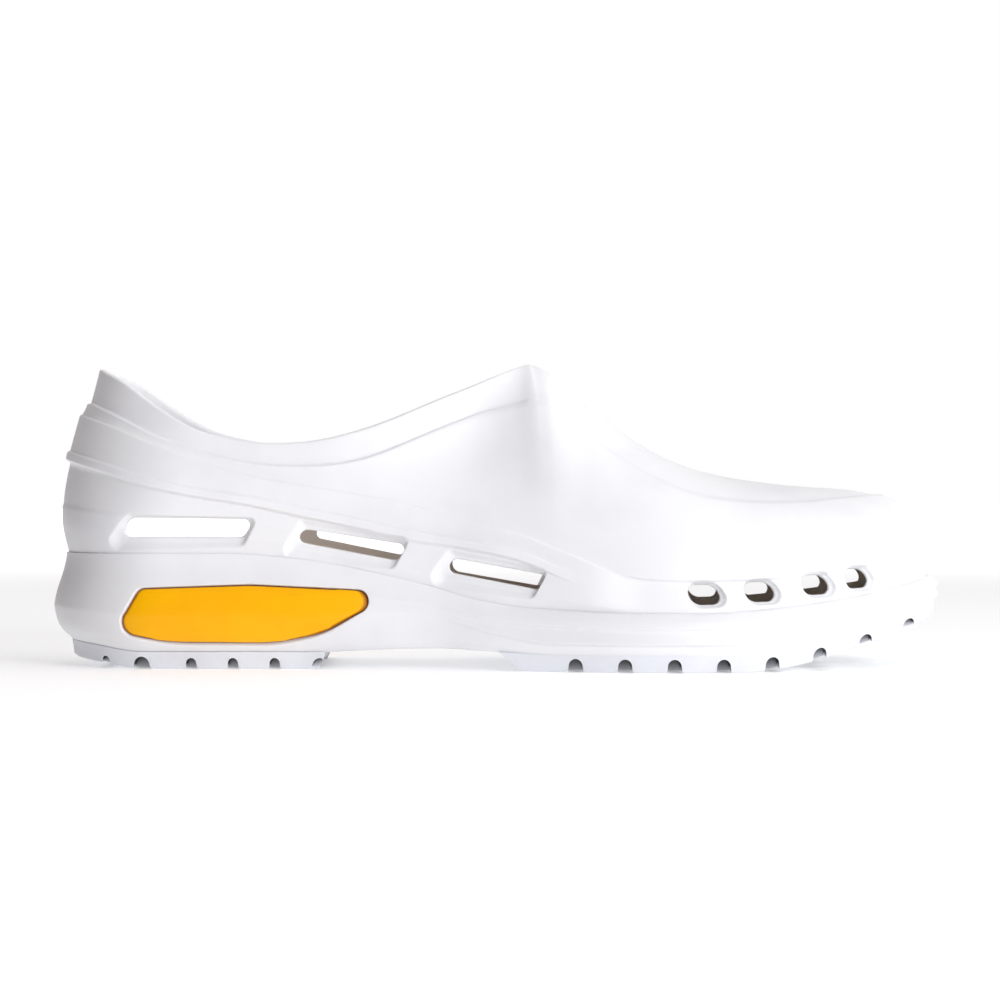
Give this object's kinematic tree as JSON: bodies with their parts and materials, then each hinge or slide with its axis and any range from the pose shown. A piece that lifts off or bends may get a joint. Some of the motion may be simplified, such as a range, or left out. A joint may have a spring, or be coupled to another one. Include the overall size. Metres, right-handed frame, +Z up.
{
  "type": "clog",
  "caption": "White closed-back hospital clog, right foot: hollow moulded upper with slanted side vents and toe vents, stepped sole unit, tread pads, footbed and yellow heel inserts.",
  "frame": {"origin": "on the ground, under the middle of the shoe's box", "axes": "+X towards the toe, +Y towards the inner side of the foot, +Z up; the outer side faces -Y"},
  "size_m": [0.2904, 0.1076, 0.098],
  "materials": {
    "moulded_white": "satin",
    "tread_white": "matte",
    "footbed_white": "matte",
    "insert_yellow": "satin"
  },
  "bodies": {
    "root": {"upper": "moulded_white", "sole": "moulded_white", "outsole_heel": "tread_white", "outsole_forefoot": "tread_white", "insole": "footbed_white", "insert_lateral": "insert_yellow", "insert_medial": "insert_yellow"}
  },
  "joints": []
}
